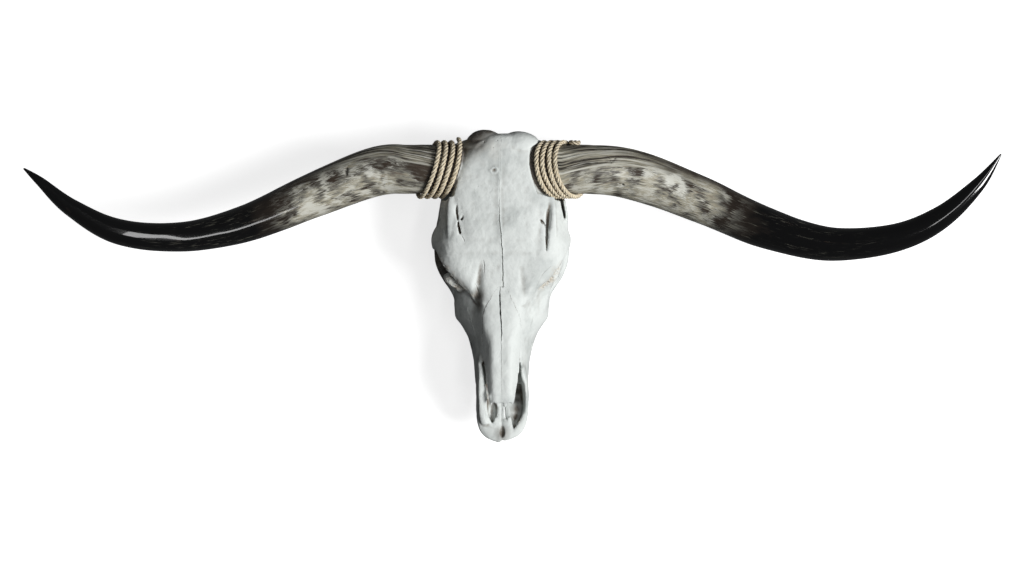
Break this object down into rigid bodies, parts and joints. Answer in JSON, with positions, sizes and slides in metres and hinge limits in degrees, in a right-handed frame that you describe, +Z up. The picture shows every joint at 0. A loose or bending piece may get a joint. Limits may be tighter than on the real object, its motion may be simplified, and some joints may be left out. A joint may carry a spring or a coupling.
{
  "type": "longhorn steer skull",
  "caption": "Bleached longhorn steer skull lying face up, with long polished horns and rope lashings at their bases.",
  "frame": {"origin": "middle of the bounding box on the ground it lies on", "axes": "+Z up out of the forehead, +X towards the horn on the right of someone who looks down at the forehead with the muzzle towards them, +Y from the muzzle towards the poll"},
  "size_m": [1.6144, 0.5414, 0.2794],
  "materials": {
    "bone": "chalky bleached bone, dry and matt",
    "horn": "polished horn, mottled cream and grey near the skull and glossy black at the tips",
    "collar": "dull dark brown rim of raw horn",
    "rope": "natural three-strand rope, pale straw colour"
  },
  "bodies": {
    "root": {"cranium": "bone", "nasal_left": "bone", "nasal_right": "bone", "incisive_left": "bone", "incisive_right": "bone", "horn_left": "horn", "horn_right": "horn", "collar_left": "collar", "collar_right": "collar", "rope_left": "rope", "rope_right": "rope"}
  },
  "joints": []
}
